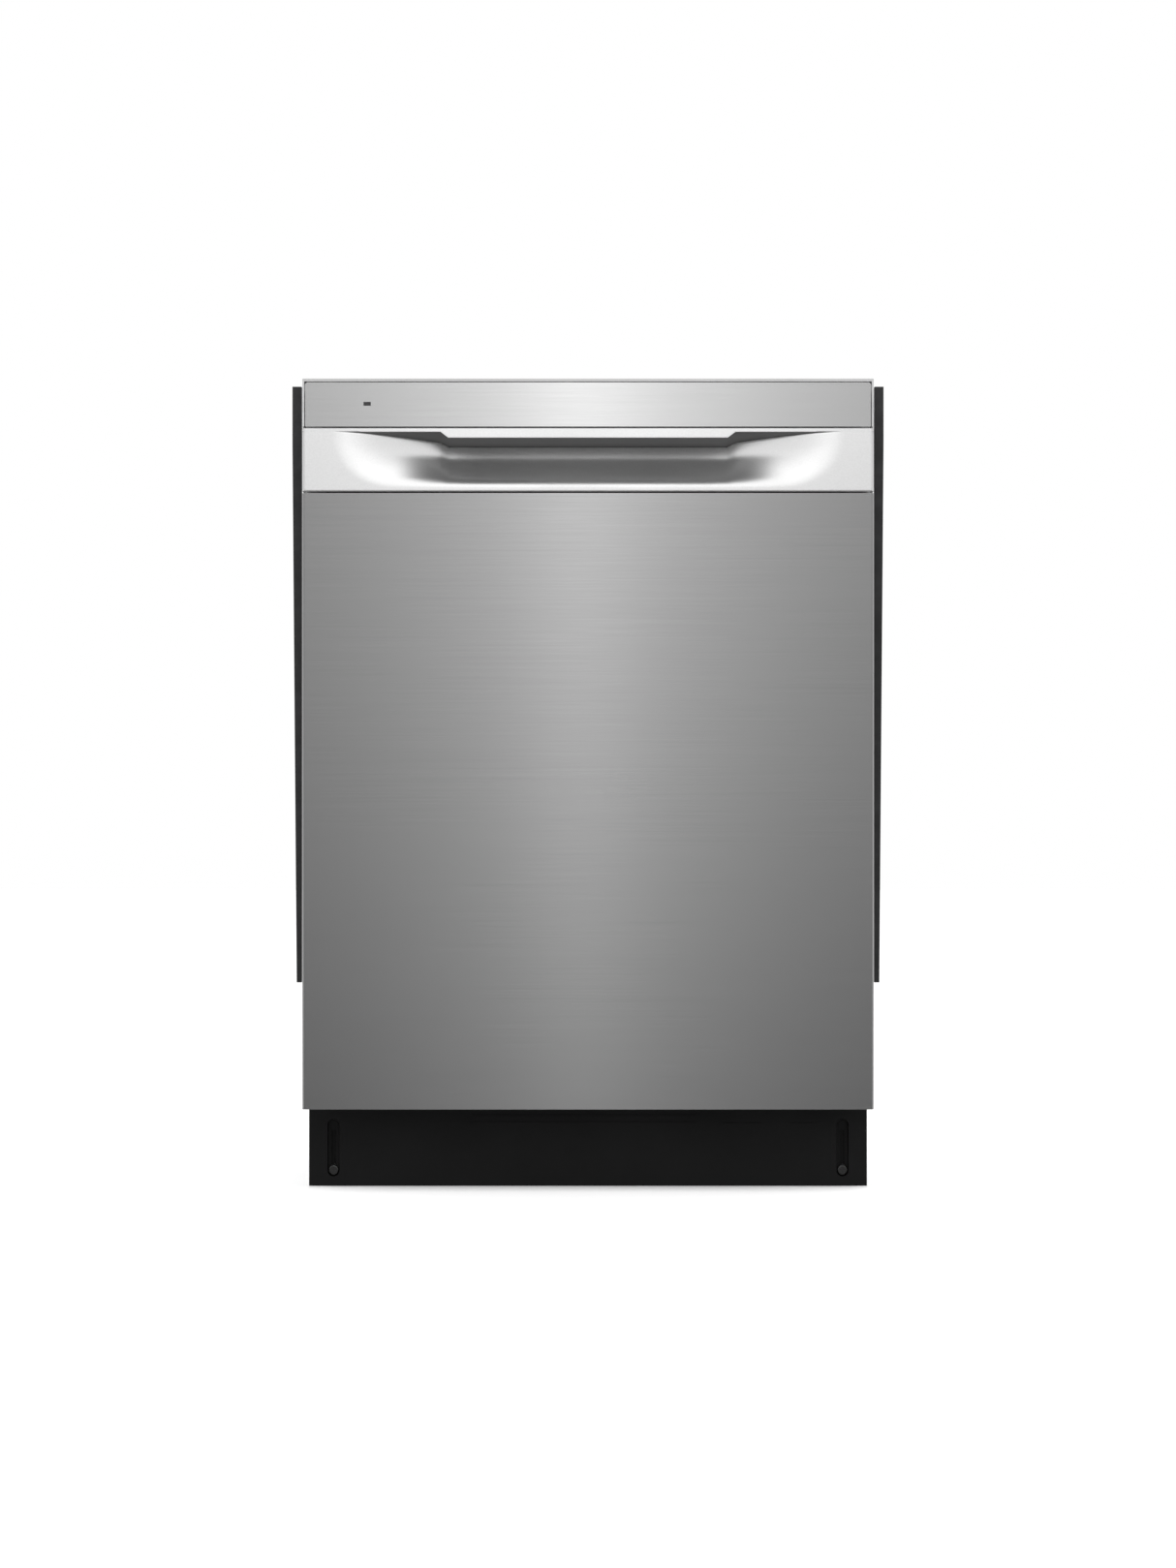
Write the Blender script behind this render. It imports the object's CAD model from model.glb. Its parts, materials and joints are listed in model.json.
"""Looks of the built-in dishwasher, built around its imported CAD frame. Metres, Z up."""
import json
import math
import random

import bmesh
import bpy
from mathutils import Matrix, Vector


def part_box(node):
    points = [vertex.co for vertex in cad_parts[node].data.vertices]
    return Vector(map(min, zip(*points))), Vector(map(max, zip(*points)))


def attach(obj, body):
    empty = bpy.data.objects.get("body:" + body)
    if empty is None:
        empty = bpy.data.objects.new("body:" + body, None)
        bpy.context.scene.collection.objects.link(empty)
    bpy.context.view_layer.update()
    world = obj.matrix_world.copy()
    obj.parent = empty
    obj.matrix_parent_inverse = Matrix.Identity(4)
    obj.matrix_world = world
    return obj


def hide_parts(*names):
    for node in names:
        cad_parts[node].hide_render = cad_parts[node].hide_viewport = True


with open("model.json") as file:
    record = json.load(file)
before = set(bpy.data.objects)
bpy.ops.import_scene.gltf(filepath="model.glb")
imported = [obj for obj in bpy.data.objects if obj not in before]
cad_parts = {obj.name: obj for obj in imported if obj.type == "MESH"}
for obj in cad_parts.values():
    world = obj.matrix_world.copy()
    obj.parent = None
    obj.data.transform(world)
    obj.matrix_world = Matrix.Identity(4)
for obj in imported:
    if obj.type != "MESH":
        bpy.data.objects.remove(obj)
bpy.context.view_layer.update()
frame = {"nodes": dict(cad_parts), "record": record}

scene = bpy.context.scene

# Where the door faces are, from the frame
HANDLE_LOW, HANDLE_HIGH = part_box("handle_panel")
FRONT_Y = HANDLE_LOW[1]


# ------------------------------------------------------------------ node helpers


class Material:
    """A Principled material with a small set of procedural building blocks."""

    def __init__(self, name, color, roughness, metallic=0.0):
        self.material = bpy.data.materials.new(name)
        self.material.use_nodes = True
        self.tree = self.material.node_tree
        self.shader = self.tree.nodes["Principled BSDF"]
        self.set("Base Color", (*color, 1.0))
        self.set("Roughness", roughness)
        self.set("Metallic", metallic)
        self.place = self.tree.nodes.new("ShaderNodeTexCoord").outputs["Object"]
        self.color = color
        self.roughness = roughness
        self.height = None

    def set(self, socket, value):
        self.shader.inputs[socket].default_value = value

    def link(self, source, target):
        self.tree.links.new(source, target)

    def stretched(self, scale):
        mapping = self.tree.nodes.new("ShaderNodeMapping")
        mapping.inputs["Scale"].default_value = scale
        self.link(self.place, mapping.inputs["Vector"])
        return mapping.outputs["Vector"]

    def noise(self, scale, detail=4.0, stretch=(1, 1, 1), roughness=0.55):
        node = self.tree.nodes.new("ShaderNodeTexNoise")
        node.inputs["Scale"].default_value = scale
        node.inputs["Detail"].default_value = detail
        node.inputs["Roughness"].default_value = roughness
        self.link(self.stretched(stretch), node.inputs["Vector"])
        return node.outputs["Fac"]

    def cells(self, scale, feature="F1", output="Distance"):
        node = self.tree.nodes.new("ShaderNodeTexVoronoi")
        node.feature = feature
        node.inputs["Scale"].default_value = scale
        self.link(self.place, node.inputs["Vector"])
        return node.outputs[output]

    def ranged(self, value, low, high, start=0.3, stop=0.7):
        node = self.tree.nodes.new("ShaderNodeMapRange")
        node.inputs["From Min"].default_value = start
        node.inputs["From Max"].default_value = stop
        node.inputs["To Min"].default_value = low
        node.inputs["To Max"].default_value = high
        self.link(value, node.inputs["Value"])
        return node.outputs["Result"]

    def tint(self, value, dark, light):
        """Vary the base colour between two strengths of itself."""
        node = self.tree.nodes.new("ShaderNodeMix")
        node.data_type = "RGBA"
        node.inputs["A"].default_value = (*[c * dark for c in self.color], 1.0)
        node.inputs["B"].default_value = (*[min(1.0, c * light) for c in self.color], 1.0)
        self.link(self.ranged(value, 0.0, 1.0), node.inputs["Factor"])
        self.link(node.outputs["Result"], self.shader.inputs["Base Color"])

    def gloss(self, value, spread):
        """Vary the roughness by a pattern."""
        low, high = self.roughness - spread, self.roughness + spread
        self.link(self.ranged(value, low, high), self.shader.inputs["Roughness"])

    def bump(self, value, depth, strength=1.0):
        node = self.tree.nodes.new("ShaderNodeBump")
        node.inputs["Distance"].default_value = depth
        node.inputs["Strength"].default_value = strength
        self.link(value, node.inputs["Height"])
        if self.height:
            self.link(self.height, node.inputs["Normal"])
        self.height = node.outputs["Normal"]
        self.link(self.height, self.shader.inputs["Normal"])


# ------------------------------------------------------------------ materials


def brushed(name, color, roughness, grain, anisotropic=0.93):
    """Steel with a horizontal grain: fine lines along X that catch light across them."""
    m = Material(name, color, roughness, metallic=1.0)
    lines = m.noise(1.0, detail=4.0, stretch=(5.0, 1500.0, 1500.0), roughness=0.75)
    fine = m.noise(1.0, detail=2.0, stretch=(16.0, 3200.0, 3200.0))
    m.tint(lines, 1 - grain, 1 + grain)
    m.gloss(fine, 0.02)
    m.bump(lines, 0.000006, 0.3)
    m.set("Anisotropic", anisotropic)
    m.set("Anisotropic Rotation", 0.25)
    return m.material


def satin_steel(name, color, roughness):
    """Formed steel with a fine, directionless finish."""
    m = Material(name, color, roughness, metallic=1.0)
    m.tint(m.noise(700.0, detail=2.0), 0.97, 1.03)
    m.gloss(m.noise(6.0), 0.03)
    m.bump(m.noise(900.0, detail=2.0), 0.00001, 0.25)
    return m.material


def galvanised(name, color):
    m = Material(name, color, 0.42, metallic=1.0)
    m.tint(m.cells(120.0, output="Color"), 0.90, 1.05)
    m.gloss(m.cells(120.0), 0.06)
    m.bump(m.noise(300.0), 0.00003, 0.4)
    return m.material


def moulded(name, color, roughness, grain=0.00004):
    """Moulded plastic: fine spark-eroded texture and a little unevenness of tone."""
    m = Material(name, color, roughness)
    m.tint(m.noise(5.0, detail=3.0), 0.93, 1.06)
    m.gloss(m.noise(40.0), 0.05)
    m.bump(m.noise(1600.0, detail=2.0), grain, 0.6)
    return m.material


def glossy(name, color):
    m = Material(name, color, 0.12)
    m.gloss(m.noise(9.0), 0.03)
    m.bump(m.noise(25.0, detail=1.0), 0.0001, 0.08)
    m.set("Coat Weight", 0.4)
    return m.material


def rubber(name, color):
    m = Material(name, color, 0.62)
    m.tint(m.noise(60.0), 0.75, 1.3)
    m.gloss(m.noise(18.0), 0.06)
    m.bump(m.noise(900.0), 0.00005, 0.7)
    return m.material


def painted_black(name, color):
    m = Material(name, color, 0.5)
    m.set("Specular IOR Level", 0.22)
    m.tint(m.noise(12.0), 0.85, 1.2)
    m.gloss(m.noise(30.0), 0.04)
    m.bump(m.noise(1400.0, detail=1.0), 0.00004, 0.6)
    return m.material


def felt(name, color):
    """Needled sound-deadening felt with loose fibres and flecks."""
    m = Material(name, color, 0.95)
    fibres = m.noise(420.0, detail=6.0, roughness=0.75)
    flecks = m.cells(420.0, output="Color")
    m.tint(flecks, 0.72, 1.4)
    m.bump(fibres, 0.0008, 0.9)
    m.bump(m.noise(26.0, detail=3.0), 0.002, 0.5)
    m.set("Sheen Weight", 0.35)
    m.set("Sheen Roughness", 0.5)
    return m.material


def vinyl_coat(name, color):
    """Soft vinyl over rack wire, a little uneven where it was dipped."""
    m = Material(name, color, 0.38)
    m.tint(m.noise(14.0), 0.92, 1.06)
    m.gloss(m.noise(60.0), 0.05)
    m.bump(m.noise(120.0, detail=2.0), 0.0002, 0.35)
    return m.material


def cast_metal(name, color):
    m = Material(name, color, 0.55, metallic=0.6)
    m.tint(m.noise(30.0), 0.8, 1.25)
    m.bump(m.noise(350.0, detail=5.0), 0.0002, 0.7)
    return m.material


def brass(name, color):
    m = Material(name, color, 0.3, metallic=1.0)
    m.tint(m.noise(25.0), 0.88, 1.08)
    m.gloss(m.noise(80.0), 0.06)
    m.bump(m.noise(500.0), 0.00002, 0.4)
    return m.material


LOOKS = {
    "steel_brushed": brushed("brushed steel", (0.425, 0.425, 0.425), 0.25, 0.045),
    "steel_polished": satin_steel("satin steel", (0.95, 0.95, 0.95), 0.34),
    "steel_inner": brushed("tub steel", (0.72, 0.73, 0.74), 0.26, 0.02, 0.4),
    "steel_zinc": galvanised("zinc plated steel", (0.66, 0.67, 0.68)),
    "console_grey": moulded("console plastic", (0.44, 0.44, 0.44), 0.34),
    "black_plastic": moulded("black plastic", (0.025, 0.025, 0.026), 0.45),
    "black_gloss": glossy("gloss black", (0.012, 0.012, 0.013)),
    "black_rubber": rubber("black rubber", (0.02, 0.02, 0.021)),
    "toe_paint": painted_black("satin black paint", (0.005, 0.005, 0.0052)),
    "grey_plastic": moulded("grey plastic", (0.30, 0.31, 0.33), 0.42),
    "light_plastic": moulded("pale plastic", (0.58, 0.59, 0.60), 0.40),
    "rack_coating": vinyl_coat("rack vinyl", (0.36, 0.38, 0.40)),
    "felt": felt("sound felt", (0.055, 0.055, 0.06)),
    "brass_fit": brass("machined brass", (0.78, 0.57, 0.28)),
    "screw_steel": satin_steel("screw steel", (0.58, 0.58, 0.58), 0.32),
    "pump_metal": cast_metal("motor casting", (0.10, 0.10, 0.11)),
}
FASCIA = brushed("fascia steel", (0.64, 0.64, 0.64), 0.25, 0.03)
POCKET_BACK = moulded("pocket plastic", (0.12, 0.12, 0.12), 0.55)
BLACK_SCREW = satin_steel("black screw", (0.13, 0.13, 0.13), 0.24)


def dress_nodes():
    """Give each carried-over CAD node its slot's material."""
    for part in frame["record"]["subparts"]:
        node = frame["nodes"][part["node"]]
        node.data.materials.clear()
        node.data.materials.append(LOOKS[part["material_slot"]])
    frame["nodes"]["control_fascia"].data.materials[0] = FASCIA
    frame["nodes"]["kick_screws"].data.materials[0] = BLACK_SCREW


# ------------------------------------------------------------------ mesh helpers


def new_piece(name, vertices, faces, body, slot, replaced=(), smooth=True):
    """Make a mesh piece, give it its slot's material and ride it on a body."""
    mesh = bpy.data.meshes.new(name)
    mesh.from_pydata(vertices, [], faces)
    return finish_piece(name, mesh, body, slot, replaced, smooth)


def finish_piece(name, mesh, body, slot, replaced=(), smooth=True):
    mesh.validate()
    work = bmesh.new()
    work.from_mesh(mesh)
    bmesh.ops.recalc_face_normals(work, faces=work.faces)
    work.to_mesh(mesh)
    work.free()
    for polygon in mesh.polygons:
        polygon.use_smooth = smooth
    mesh.materials.clear()
    mesh.materials.append(LOOKS[slot])
    piece = bpy.data.objects.new(name, mesh)
    scene.collection.objects.link(piece)
    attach(piece, body)
    if replaced:
        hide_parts(*replaced)
    return piece


def rounded(points, radius, steps=4, closed=False):
    """Round the corners of a polyline with short arcs."""
    points = [Vector(p) for p in points]
    count = len(points)
    out = []
    for i, p in enumerate(points):
        if not closed and i in (0, count - 1):
            out.append(p)
            continue
        before = points[i - 1] - p
        after = points[(i + 1) % count] - p
        reach = min(radius, before.length / 2.01, after.length / 2.01)
        start = p + before.normalized() * reach
        stop = p + after.normalized() * reach
        for k in range(steps + 1):
            t = k / steps
            out.append(start * (1 - t) ** 2 + p * 2 * t * (1 - t) + stop * t**2)
    return out


def wires(name, lines, body, slot, replaced=()):
    """Turn round bars, each (points, radius, closed), into one mesh piece."""
    mesh_parts = bmesh.new()
    for points, radius, closed in lines:
        curve = bpy.data.curves.new("wire", "CURVE")
        curve.dimensions = "3D"
        curve.bevel_depth = radius
        curve.bevel_resolution = 2
        curve.use_fill_caps = True
        spline = curve.splines.new("POLY")
        spline.points.add(len(points) - 1)
        for target, point in zip(spline.points, points):
            target.co = (*point, 1.0)
        spline.use_cyclic_u = closed
        holder = bpy.data.objects.new("wire", curve)
        mesh = bpy.data.meshes.new_from_object(holder)
        mesh_parts.from_mesh(mesh)
        bpy.data.objects.remove(holder)
        bpy.data.meshes.remove(mesh)
        bpy.data.curves.remove(curve)
    joined = bpy.data.meshes.new(name)
    mesh_parts.to_mesh(joined)
    mesh_parts.free()
    return finish_piece(name, joined, body, slot, replaced)


def spread(low, high, pitch):
    """Evenly spaced values from low to high, about pitch apart."""
    count = max(1, round((high - low) / pitch))
    return [low + (high - low) * k / count for k in range(count + 1)]


# ------------------------------------------------------------------ pocket handle

LIP_Z = 0.7972
TONGUE_Z = 0.7911
TONGUE_X = 0.1465
TONGUE_RAMP = 0.0081
SCOOP_X = 0.268
SCOOP_Z = 0.7436
SCOOP_DEPTH = 0.029
SCOOP_FULL = 0.108
SLOT_GAP = 0.0083
SLOT_END_GAP = 0.0100
SLOT_EXTRA = 0.006
RECESS_FACES = (12, 16)
POCKET_TOP = 0.7990
BOWL_CORNER_X = 0.205
BOWL_RISE = 0.004
BOWL_COUNT = 28
ROLL_STEPS = 8
ROLL_DROP = 0.0045
SHEET = 0.0022
EDGE = 0.0014
SIDE_EDGE = 0.0025


def smoothstep(t):
    t = min(1.0, max(0.0, t))
    return t * t * (3 - 2 * t)


def slot_gap(away):
    """Height of the dark recess between the lip and the top of the bowl."""
    past = (away - TONGUE_X) / TONGUE_RAMP
    if past < 1:
        return SLOT_GAP + (SLOT_END_GAP - SLOT_GAP) * max(0.0, past)
    left = max(0.0, (SCOOP_X - away) / (SCOOP_X - TONGUE_X - TONGUE_RAMP))
    return SLOT_END_GAP * left**1.6


def bowl_steps(count):
    """Shares of the bowl's depth lost at each step down: gentle under its edge, then steep."""
    shares = [0.4 + 0.6 * smoothstep((k / count - 0.22) / 0.22) for k in range(count)]
    return [share / sum(shares) for share in shares]


BOWL_STEPS = bowl_steps(BOWL_COUNT)


def handle_profile(x):
    """The panel's outline in y and z at one x, the same number of points everywhere."""
    away = abs(x)
    back = HANDLE_HIGH[1]
    top, low = HANDLE_HIGH[2], HANDLE_LOW[2]
    ramp = min(1.0, max(0.0, (TONGUE_X + TONGUE_RAMP - away) / TONGUE_RAMP))
    lip = LIP_Z - (LIP_Z - TONGUE_Z) * ramp
    depth = SCOOP_DEPTH * (1 - smoothstep((away - SCOOP_FULL) / (SCOOP_X - SCOOP_FULL)))
    depth = max(depth, 0.00002)
    gap = slot_gap(away)
    rim = lip - gap
    corner = min(1.0, max(0.0, (away - BOWL_CORNER_X) / (SCOOP_X - BOWL_CORNER_X)))
    bottom = LIP_Z - BOWL_RISE - (LIP_Z - BOWL_RISE - SCOOP_Z) * math.sqrt(1 - corner**2)
    sheet = min(SHEET, depth * 0.9)
    ceiling = max(lip, min(POCKET_TOP, lip + depth * 0.26))
    turn_in = min(0.0012, gap * 0.3)
    recess = FRONT_Y + depth + min(SLOT_EXTRA, gap * 0.8)
    outline = [(back, top)]
    for k in range(5):
        turn = math.pi / 2 * k / 4
        outline.append((FRONT_Y + EDGE * (1 - math.sin(turn)), top - EDGE * (1 - math.cos(turn))))
    outline.append((FRONT_Y, top - EDGE - 0.0004))
    outline.append((FRONT_Y, lip + 0.0010))
    outline.append((FRONT_Y, lip + 0.0005))
    outline.append((FRONT_Y + sheet * 0.15, lip + 0.00012))
    outline.append((FRONT_Y + sheet * 0.5, lip))
    outline.append((FRONT_Y + sheet * 0.9, lip + 0.00012))
    outline.append((FRONT_Y + sheet, lip + 0.0004))
    outline.append((FRONT_Y + sheet, ceiling))
    outline.append((recess, ceiling))
    outline.append((recess, rim + 0.00001))
    outline.append((FRONT_Y + depth + turn_in, rim))
    outline.append((FRONT_Y + depth + turn_in * 0.3, rim - turn_in * 0.3))
    start = rim - turn_in
    bowl = [Vector((FRONT_Y + depth, start))]
    for k, share in enumerate(BOWL_STEPS):
        bowl.append(Vector((bowl[-1].x - depth * share, start - (start - bottom) * (k + 1) / BOWL_COUNT)))
    rolled = BOWL_COUNT - 4
    outline += [tuple(p) for p in bowl[:rolled]]
    roll_start, tip, roll_end = bowl[rolled], bowl[BOWL_COUNT], Vector((FRONT_Y, bottom - ROLL_DROP))
    for k in range(ROLL_STEPS + 1):
        t = k / ROLL_STEPS
        outline.append(tuple(roll_start * (1 - t) ** 2 + tip * 2 * t * (1 - t) + roll_end * t**2))
    outline.append((FRONT_Y, bottom - 0.0050))
    outline.append((FRONT_Y, low + EDGE + 0.0004))
    for k in range(5):
        turn = math.pi / 2 * k / 4
        outline.append((FRONT_Y + EDGE * (1 - math.cos(turn)), low + EDGE * (1 - math.sin(turn))))
    outline.append((back, low))
    return outline


def make_handle():
    """The formed steel panel with its pocket and the tongue that hangs over it."""
    half = HANDLE_HIGH[0]
    stations = spread(0, TONGUE_X, 0.004) + spread(TONGUE_X, TONGUE_X + TONGUE_RAMP, 0.001)[1:]
    stations += spread(TONGUE_X + TONGUE_RAMP, SCOOP_X, 0.0025)[1:]
    stations += spread(SCOOP_X, half - 0.0030, 0.006)[1:]
    stations.append(half - SIDE_EDGE)
    stations += [half - SIDE_EDGE + SIDE_EDGE * math.sin(math.pi / 2 * k / 5) for k in range(1, 6)]
    stations = [-x for x in reversed(stations)] + stations[1:]
    vertices, faces = [], []
    for x in stations:
        past = max(0.0, abs(x) - (half - SIDE_EDGE)) / SIDE_EDGE
        least = FRONT_Y + SIDE_EDGE * (1 - math.sqrt(max(0.0, 1 - past**2)))
        vertices += [(x, max(y, least), z) for y, z in handle_profile(x)]
    size = len(vertices) // len(stations)
    for i in range(len(stations) - 1):
        for j in range(size):
            k = (j + 1) % size
            faces.append((i * size + j, i * size + k, (i + 1) * size + k, (i + 1) * size + j))
    faces.append(tuple(range(size)))
    faces.append(tuple((len(stations) - 1) * size + j for j in range(size)))
    piece = new_piece("pocket_handle", vertices, faces, "door", "steel_polished", ["handle_panel"])
    piece.data.set_sharp_from_angle(angle=math.radians(40))
    piece.data.materials.append(POCKET_BACK)
    first, last = RECESS_FACES
    for i in range((len(stations) - 1) * size):
        if first <= i % size < last:
            piece.data.polygons[i].material_index = 1


# ------------------------------------------------------------------ racks


LOWER_HALF = 0.236
UPPER_HALF = 0.248
LOWER_FLOOR = 0.206
UPPER_FLOOR = 0.500
THIRD_FLOOR = 0.748


def basket_like(node, half, rise_z, pitch_x, pitch_y, radius=0.0021):
    """Basket bars for a node whose box also holds side fittings, so its half width is given.

    Also gives the basket's front, back and floor."""
    low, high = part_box(node)
    inset = radius + 0.0002
    y0, y1 = low[1] + inset, high[1] - inset
    x0, x1 = -half + inset, half - inset
    floor, top = rise_z + radius, high[2] - radius * 1.3
    lines = []
    for x in spread(x0 + 0.020, x1 - 0.020, pitch_x):
        path = [(x, y0, top), (x, y0, floor), (x, y1, floor), (x, y1, top)]
        lines.append((rounded(path, 0.016), radius, False))
    for y in spread(y0 + 0.028, y1 - 0.028, pitch_y):
        drop = floor + 2 * radius
        path = [(x0, y, top), (x0, y, drop), (x1, y, drop), (x1, y, top)]
        lines.append((rounded(path, 0.016), radius, False))
    for z, r in ((top, radius * 1.3), (floor + (top - floor) * 0.5, radius)):
        path = [(x0, y0, z), (x1, y0, z), (x1, y1, z), (x0, y1, z)]
        lines.append((rounded(path, 0.024, steps=6, closed=True), r, True))
    return lines, y0, y1, floor


def make_lower_rack():
    wheel_boxes = [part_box("front_wheels"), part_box("rear_wheels")]
    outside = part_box("lower_rack")[1][0]
    lines = basket_like("lower_rack", LOWER_HALF, LOWER_FLOOR, 0.030, 0.060)[0]
    for box_low, box_high in wheel_boxes:
        y = (box_low[1] + box_high[1]) / 2
        z = (box_low[2] + box_high[2]) / 2
        for side in (-1, 1):
            lines.append(([Vector((side * 0.224, y, z)), Vector((side * outside, y, z))], 0.0029, False))
            for shift in (-0.012, 0.012):
                path = [(side * 0.2325, y + shift, 0.215), (side * 0.2325, y + shift * 0.4, z)]
                lines.append(([Vector(p) for p in path], 0.0022, False))
    wires("lower_rack_wires", lines, "lower_rack", "rack_coating", ["lower_rack"])


def make_upper_rack():
    lines, y0, y1, floor = basket_like("upper_rack", UPPER_HALF, UPPER_FLOOR, 0.031, 0.055)
    for x in (-0.07, 0.05, 0.16):
        for y in spread(y0 + 0.05, y1 - 0.05, 0.034):
            path = [(x, y, floor), (x - 0.012, y, floor + 0.066)]
            lines.append(([Vector(p) for p in path], 0.0020, False))
    wires("upper_rack_wires", lines, "upper_rack", "rack_coating", ["upper_rack"])


def make_third_rack():
    lines, y0, y1, _ = basket_like("third_rack", UPPER_HALF, THIRD_FLOOR, 0.024, 0.048, 0.0018)
    bar_z = THIRD_FLOOR + 0.0022
    join_x = UPPER_HALF - 0.002
    for side in (-1, 1):
        edge = side * (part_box("third_rack")[1][0] - 0.0022)
        path = [(side * join_x, y0 + 0.012, bar_z), (edge, y0 + 0.022, bar_z),
                (edge, y1 - 0.022, bar_z), (side * join_x, y1 - 0.012, bar_z)]
        lines.append((rounded(path, 0.01), 0.0020, False))
    wires("third_rack_wires", lines, "third_rack", "rack_coating", ["third_rack"])


def make_tines(node):
    """A comb of plate tines on its pivot wire."""
    low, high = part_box(node)
    y, z = (low[1] + high[1]) / 2, low[2] + 0.002
    lines = [([Vector((low[0] + 0.001, y, z)), Vector((high[0] - 0.001, y, z))], 0.0020, False)]
    for x in spread(low[0] + 0.002, high[0] - 0.002, 0.030):
        lines.append(([Vector((x, y, z)), Vector((x, y, high[2] - 0.002))], 0.0019, False))
    wires(node + "_wires", lines, node, "rack_coating", [node])


def make_cup_shelf():
    low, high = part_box("cup_shelf")
    z = (low[2] + high[2]) / 2
    r = 0.00165
    x0, x1, y0, y1 = low[0] + r, high[0] - r, low[1] + r, high[1] - r
    path = [(x0, y0, z), (x1, y0, z), (x1, y1, z), (x0, y1, z)]
    lines = [(rounded(path, 0.02, steps=6, closed=True), r, True)]
    for y in spread(y0 + 0.025, y1 - 0.025, 0.026):
        lines.append(([Vector((x0, y, z)), Vector((x1, y, z))], r * 0.9, False))
    wires("cup_shelf_wires", lines, "cup_shelf", "rack_coating", ["cup_shelf"])


# ------------------------------------------------------------------ springs and hoses


def helix(start, end, radius, turns):
    """Points of a coil from start to end."""
    start, end = Vector(start), Vector(end)
    points = []
    steps = turns * 12
    for k in range(steps + 1):
        t = k / steps
        turn = 2 * math.pi * turns * t
        along = start.lerp(end, t)
        points.append(along + Vector((math.cos(turn) * radius, 0, math.sin(turn) * radius)))
    return points


def make_springs():
    low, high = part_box("door_springs")
    lines = []
    z = (low[2] + high[2]) / 2
    for side in (-1, 1):
        x = side * (high[0] - 0.011)
        coil = helix((x, 0.021, z), (x, 0.149, z), 0.0095, 30)
        lines.append((coil, 0.0014, False))
        lines.append(([Vector((x, low[1], z)), Vector((x, 0.016, z)), coil[0]], 0.0014, False))
        lines.append(([coil[-1], Vector((x, 0.154, z)), Vector((x, high[1], z))], 0.0014, False))
    wires("balance_springs", lines, "cabinet", "screw_steel", ["door_springs"])


def lathe_tube(centre, axis, length, radius, pitch, ridge):
    """Rings of a ribbed tube along X or Y, as vertices and faces."""
    rings = max(8, int(length / pitch * 6))
    sides = 28
    vertices, faces = [], []
    for i in range(rings + 1):
        t = i / rings
        r = radius - ridge * (0.5 - 0.5 * math.cos(2 * math.pi * t * length / pitch))
        for j in range(sides):
            turn = 2 * math.pi * j / sides
            around = (r * math.cos(turn), r * math.sin(turn))
            if axis == "Y":
                vertices.append((centre[0] + around[0], centre[1] + t * length, centre[2] + around[1]))
            else:
                vertices.append((centre[0] + t * length, centre[1] + around[0], centre[2] + around[1]))
    for i in range(rings):
        for j in range(sides):
            k = (j + 1) % sides
            faces.append((i * sides + j, i * sides + k, (i + 1) * sides + k, (i + 1) * sides + j))
    faces.append(tuple(range(sides)))
    faces.append(tuple(rings * sides + j for j in range(sides)))
    return vertices, faces


def make_hoses():
    low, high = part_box("hoses")
    parts = (
        lathe_tube((-0.150, high[1] - 0.269, 0.080), "Y", 0.269, 0.0099, 0.0056, 0.0014),
        lathe_tube((high[0] - 0.0195, 0.040, 0.110), "X", 0.0195, 0.0158, 0.0065, 0.0012),
    )
    vertices, faces = [], []
    for part_vertices, part_faces in parts:
        base = len(vertices)
        vertices += part_vertices
        faces += [tuple(i + base for i in face) for face in part_faces]
    new_piece("ribbed_hoses", vertices, faces, "cabinet", "black_rubber", ["hoses"])


# ------------------------------------------------------------------ soft parts


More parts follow.
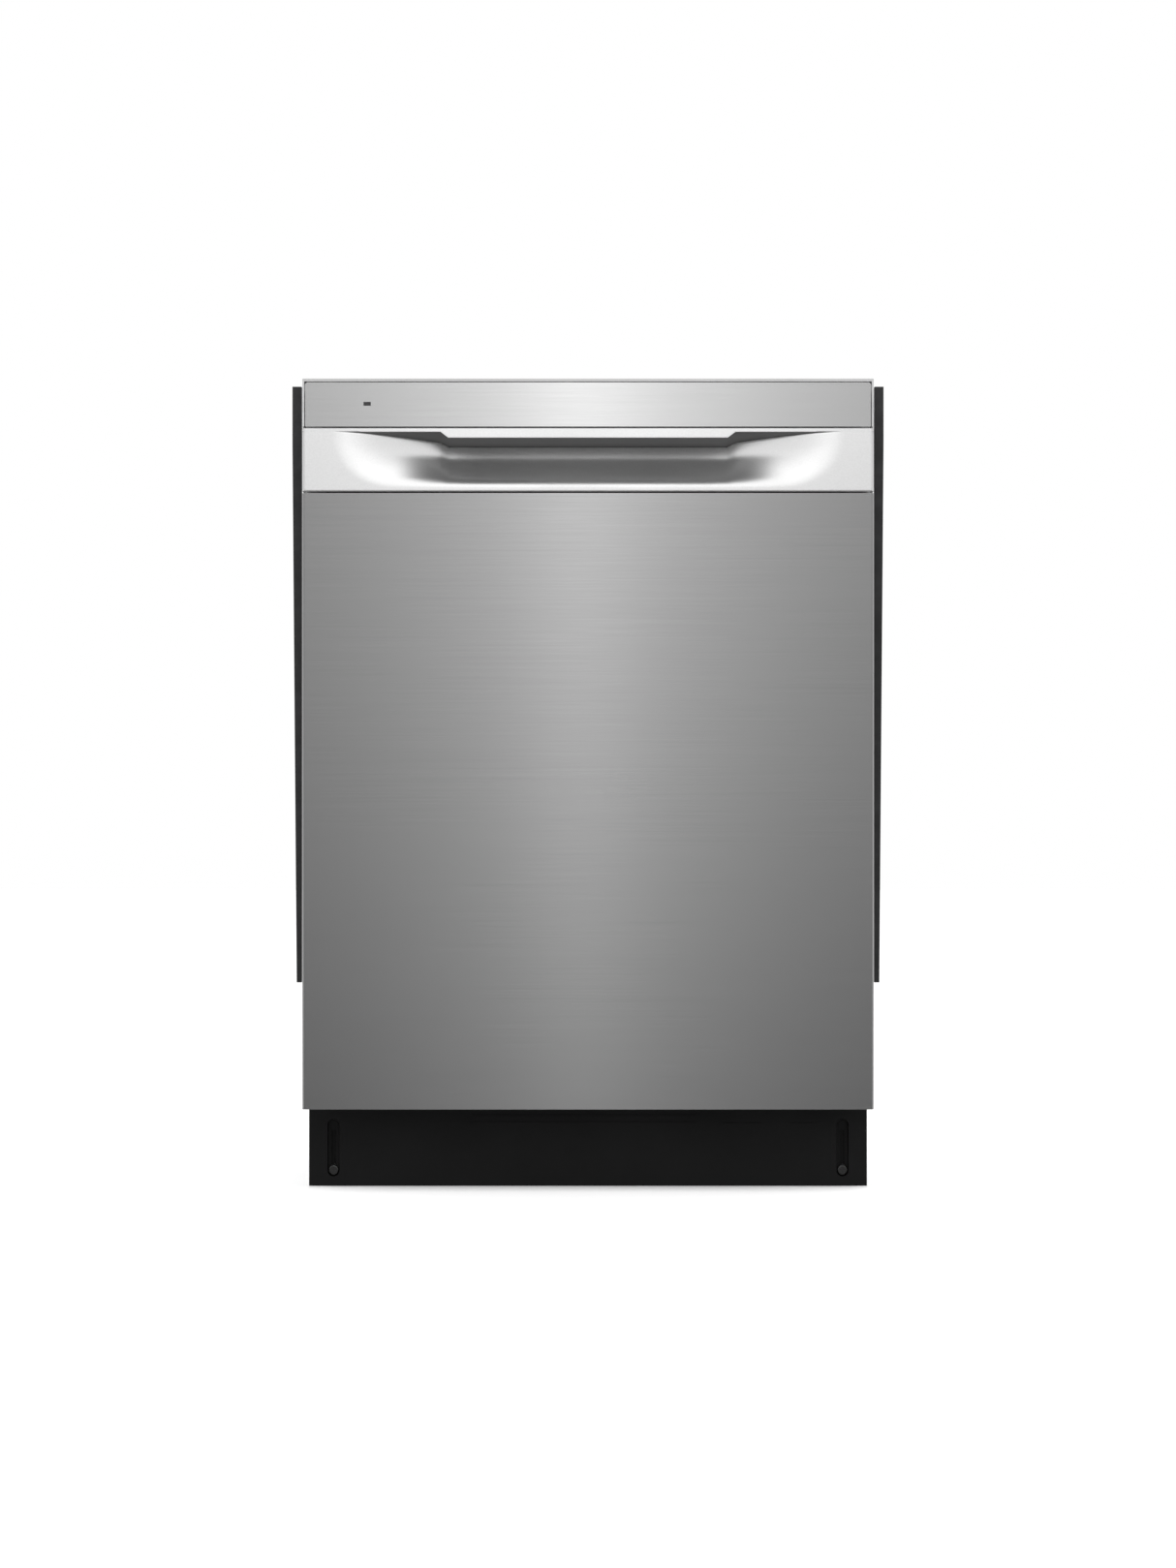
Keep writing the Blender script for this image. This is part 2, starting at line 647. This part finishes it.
def make_blanket():
    """The felt wrap over the tub's sides and top: a soft, uneven sheet, pinched where it is taped."""
    low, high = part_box("insulation_blanket")
    thick = 0.0114
    corner = 0.045
    out_x, out_z = high[0] - 0.0008, high[2] - 0.0008
    path = [(-out_x, low[2], -1.0, 0.0)]
    for z in spread(low[2], out_z - corner, 0.014)[1:]:
        path.append((-out_x, z, -1.0, 0.0))
    for k in range(1, 10):
        turn = math.pi / 2 * k / 9
        path.append((-out_x + corner * (1 - math.cos(turn)), out_z - corner * (1 - math.sin(turn)),
                     -math.cos(turn), math.sin(turn)))
    for x in spread(-out_x + corner, out_x - corner, 0.014)[1:]:
        path.append((x, out_z, 0.0, 1.0))
    for k in range(1, 10):
        turn = math.pi / 2 * k / 9
        path.append((out_x - corner * (1 - math.sin(turn)), out_z - corner * (1 - math.cos(turn)),
                     math.sin(turn), math.cos(turn)))
    for z in reversed(spread(low[2], out_z - corner, 0.014)[:-1]):
        path.append((out_x, z, 1.0, 0.0))
    ys = spread(low[1] + 0.001, high[1] - 0.001, 0.012)
    tapes = (low[1] + 0.14, high[1] - 0.14)
    source = random.Random(7)
    lumps = [(source.uniform(20, 60), source.uniform(20, 60), source.uniform(0, 6.28)) for _ in range(6)]
    vertices, faces = [], []
    for side in range(2):
        travelled = 0.0
        for i, (x, z, nx, nz) in enumerate(path):
            if i:
                travelled += math.hypot(x - path[i - 1][0], z - path[i - 1][1])
            for y in ys:
                sink = 0.0
                if side == 0:
                    for a, b, c in lumps:
                        sink += 0.00035 * (1 + math.sin(a * travelled + c) * math.sin(b * y + c * 2))
                    for tape in tapes:
                        sink += 0.004 * math.exp(-(((y - tape) / 0.016) ** 2))
                    rim = min(y - ys[0], ys[-1] - y)
                    sink += 0.005 * math.exp(-rim / 0.007)
                else:
                    sink = thick - 0.0002
                vertices.append((x - nx * sink, y, z - nz * sink))
    rows, columns = len(path), len(ys)
    layer = rows * columns
    for i in range(rows - 1):
        for j in range(columns - 1):
            a, b = i * columns + j, (i + 1) * columns + j
            faces.append((a, a + 1, b + 1, b))
            faces.append((layer + a, layer + b, layer + b + 1, layer + a + 1))
    for i in range(rows - 1):
        for j in (0, columns - 1):
            a, b = i * columns + j, (i + 1) * columns + j
            faces.append((a, b, layer + b, layer + a))
    for i in (0, rows - 1):
        for j in range(columns - 1):
            a = i * columns + j
            faces.append((a, layer + a, layer + a + 1, a + 1))
    blanket = new_piece("felt_blanket", vertices, faces, "cabinet", "felt", ["insulation_blanket"])


def make_door_pad():
    """The felt pad behind the outer panel, soft at its edges."""
    low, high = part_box("door_insulation")
    xs, zs = spread(low[0], high[0], 0.02), spread(low[2], high[2], 0.02)
    vertices, faces = [], []
    for side in range(2):
        for x in xs:
            for z in zs:
                edge = min(x - low[0], high[0] - x, z - low[2], high[2] - z)
                pinch = 0.0045 * math.exp(-edge / 0.012)
                lump = 0.0007 * (1 + math.sin(31 * x + 3 * side) * math.sin(27 * z))
                y = low[1] + pinch + lump if side == 0 else high[1] - pinch - lump
                vertices.append((x, y, z))
    columns, layer = len(zs), len(xs) * len(zs)
    for i in range(len(xs) - 1):
        for j in range(columns - 1):
            a, b = i * columns + j, (i + 1) * columns + j
            faces.append((a, a + 1, b + 1, b))
            faces.append((layer + a, layer + b, layer + b + 1, layer + a + 1))
    ring = [i * columns for i in range(len(xs))]
    ring += [(len(xs) - 1) * columns + j for j in range(1, columns)]
    ring += [i * columns + columns - 1 for i in reversed(range(len(xs) - 1))]
    ring += [j for j in reversed(range(1, columns - 1))]
    for a, b in zip(ring, ring[1:] + ring[:1]):
        faces.append((a, b, layer + b, layer + a))
    pad = new_piece("door_felt_pad", vertices, faces, "door", "felt", ["door_insulation"])


# ------------------------------------------------------------------ studio


def make_floor():
    m = Material("pale floor", (0.93, 0.93, 0.93), 0.7)
    m.tint(m.noise(3.0), 0.985, 1.01)
    m.set("Emission Color", (1.0, 1.0, 1.0, 1.0))
    m.set("Emission Strength", 0.3)
    mesh = bpy.data.meshes.new("floor")
    reach = 14.0
    mesh.from_pydata([(-reach, -reach, 0), (reach, -reach, 0), (reach, reach, 0), (-reach, reach, 0)],
                     [], [(0, 1, 2, 3)])
    mesh.materials.append(m.material)
    floor = bpy.data.objects.new("floor", mesh)
    scene.collection.objects.link(floor)
    floor.visible_glossy = False


def make_softbox():
    """A tall card on the camera's side that the steel mirrors: bright along its middle and upwards."""
    material = bpy.data.materials.new("softbox")
    material.use_nodes = True
    nodes, links = material.node_tree.nodes, material.node_tree.links
    nodes.clear()
    split = nodes.new("ShaderNodeSeparateXYZ")
    links.new(nodes.new("ShaderNodeTexCoord").outputs["Object"], split.inputs[0])

    def calculate(operation, *values):
        node = nodes.new("ShaderNodeMath")
        node.operation = operation
        for socket, value in zip(node.inputs, values):
            if isinstance(value, float):
                socket.default_value = value
            else:
                links.new(value, socket)
        return node.outputs[0]

    across = None
    for centre, width, strength in SOFTBOX_BANDS:
        offset = calculate("DIVIDE", calculate("SUBTRACT", split.outputs["X"], centre), width)
        bell = calculate("EXPONENT", calculate("MULTIPLY", calculate("POWER", offset, 2.0), -1.0))
        band = calculate("MULTIPLY", bell, strength)
        across = band if across is None else calculate("ADD", across, band)
    across = calculate("ADD", across, SOFTBOX_BASE)
    rise = nodes.new("ShaderNodeMapRange")
    rise.inputs["From Min"].default_value = SOFTBOX_DARK_Z
    rise.inputs["From Max"].default_value = SOFTBOX_FULL_Z
    rise.inputs["To Min"].default_value = 0.03
    rise.inputs["To Max"].default_value = SOFTBOX_TOP
    links.new(split.outputs["Z"], rise.inputs["Value"])
    glow = nodes.new("ShaderNodeEmission")
    links.new(calculate("MULTIPLY", across, rise.outputs["Result"]), glow.inputs["Strength"])
    out = nodes.new("ShaderNodeOutputMaterial")
    links.new(glow.outputs[0], out.inputs["Surface"])
    mesh = bpy.data.meshes.new("softbox")
    half, low, high = 1.9, -1.6, 2.8
    corners = [(-half, low), (half, low), (half, high), (-half, high)]
    mesh.from_pydata([(x, SOFTBOX_Y, z) for x, z in corners], [], [(0, 1, 2, 3)])
    mesh.materials.append(material)
    card = bpy.data.objects.new("softbox", mesh)
    scene.collection.objects.link(card)
    card.visible_camera = False
    card.visible_diffuse = False
    card.visible_shadow = False


SOFTBOX_Y = -2.4
SOFTBOX_BANDS = ((0.0, 0.33, 0.56), (-0.01, 0.055, 0.70))
SOFTBOX_BASE = 0.555
SOFTBOX_DARK_Z = -0.42
SOFTBOX_FULL_Z = 1.3
SOFTBOX_TOP = 1.36


def area_light(name, place, target, size, power):
    light = bpy.data.lights.new(name, "AREA")
    light.shape = "RECTANGLE"
    light.size, light.size_y = size
    light.energy = power
    holder = bpy.data.objects.new(name, light)
    holder.location = place
    aim = Vector(target) - Vector(place)
    holder.rotation_euler = aim.to_track_quat("-Z", "Y").to_euler()
    holder.visible_glossy = False
    scene.collection.objects.link(holder)


def make_world():
    """White to the camera and as light on matt things; dim overhead in what the steel mirrors."""
    world = bpy.data.worlds.new("studio")
    scene.world = world
    world.use_nodes = True
    nodes, links = world.node_tree.nodes, world.node_tree.links
    nodes.clear()
    split = nodes.new("ShaderNodeSeparateXYZ")
    links.new(nodes.new("ShaderNodeTexCoord").outputs["Generated"], split.inputs[0])
    rise = nodes.new("ShaderNodeMapRange")
    rise.inputs["From Min"].default_value = 0.5
    rise.inputs["From Max"].default_value = 0.85
    rise.inputs["To Min"].default_value = 0.62
    rise.inputs["To Max"].default_value = 0.05
    links.new(split.outputs["Z"], rise.inputs["Value"])
    mirrored = nodes.new("ShaderNodeBackground")
    mirrored.inputs["Color"].default_value = (1, 1, 1, 1)
    links.new(rise.outputs["Result"], mirrored.inputs["Strength"])
    white = nodes.new("ShaderNodeBackground")
    white.inputs["Color"].default_value = (1, 1, 1, 1)
    mix = nodes.new("ShaderNodeMixShader")
    links.new(nodes.new("ShaderNodeLightPath").outputs["Is Glossy Ray"], mix.inputs[0])
    links.new(white.outputs[0], mix.inputs[1])
    links.new(mirrored.outputs[0], mix.inputs[2])
    out = nodes.new("ShaderNodeOutputWorld")
    links.new(mix.outputs[0], out.inputs["Surface"])


def make_camera():
    """Level, straight in front, five metres from the door."""
    distance = 5.0
    field = 1.643
    camera = bpy.data.cameras.new("camera")
    camera.sensor_width = 36.0
    camera.lens = camera.sensor_width * distance / field
    camera.clip_end = 60.0
    holder = bpy.data.objects.new("camera", camera)
    holder.location = (0.0, FRONT_Y - distance, 0.4282)
    holder.rotation_euler = (math.radians(90), 0, 0)
    scene.collection.objects.link(holder)
    scene.camera = holder


make_camera()
dress_nodes()
make_handle()
make_lower_rack()
make_upper_rack()
make_third_rack()
make_tines("front_tines")
make_tines("rear_tines")
make_cup_shelf()
make_springs()
make_hoses()
make_blanket()
make_door_pad()
make_floor()
make_softbox()
make_world()
area_light("left key", (-2.6, -1.6, 2.6), (0, 0, 0.5), (1.6, 1.6), 30)
area_light("right fill", (2.8, -1.2, 2.2), (0, 0, 0.5), (1.8, 1.8), 22)
area_light("back light", (0.6, 2.8, 2.6), (0, 0, 0.4), (2.2, 1.4), 30)
scene.view_settings.view_transform = "Standard"
